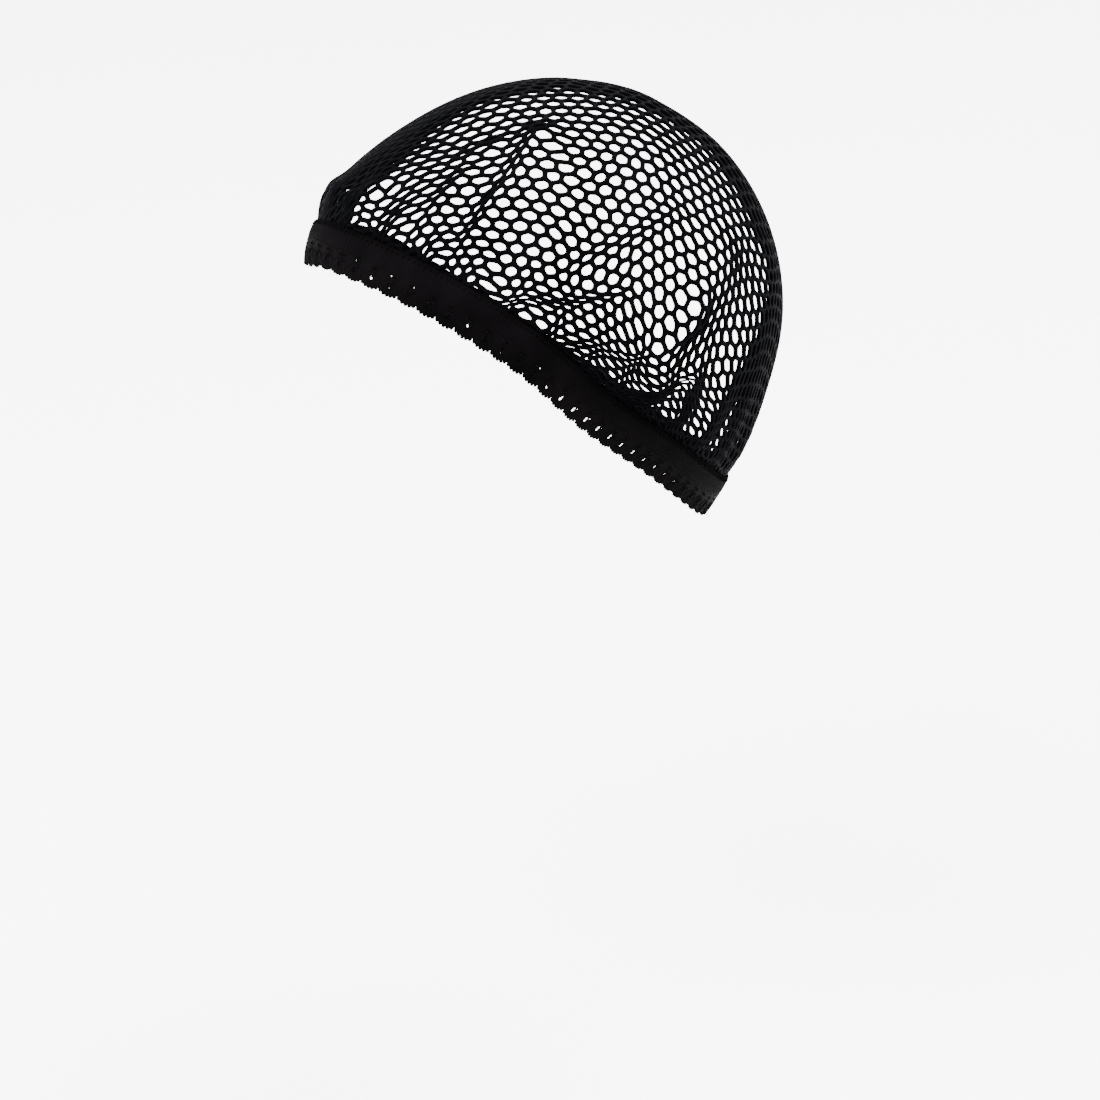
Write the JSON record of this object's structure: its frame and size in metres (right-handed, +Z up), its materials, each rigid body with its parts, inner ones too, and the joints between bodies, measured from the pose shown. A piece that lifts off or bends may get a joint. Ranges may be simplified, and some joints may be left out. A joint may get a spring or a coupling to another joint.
{
  "type": "hairnet",
  "caption": "Stretch hairnet with a domed crown of coarse hexagonal net gathered into an elastic lace band with a scalloped edge.",
  "frame": {"origin": "top of the hollow, on the inside of the crown, where the net rests on the top of the head", "axes": "+Z up with the head upright, -Y towards the face, +X towards the wearer's left"},
  "size_m": [0.1484, 0.1773, 0.1634],
  "materials": {
    "net": "matt black knitted nylon",
    "lace": "soft black elastic lace"
  },
  "bodies": {
    "root": {"crown_net": "net", "lace_band": "lace"}
  },
  "joints": []
}
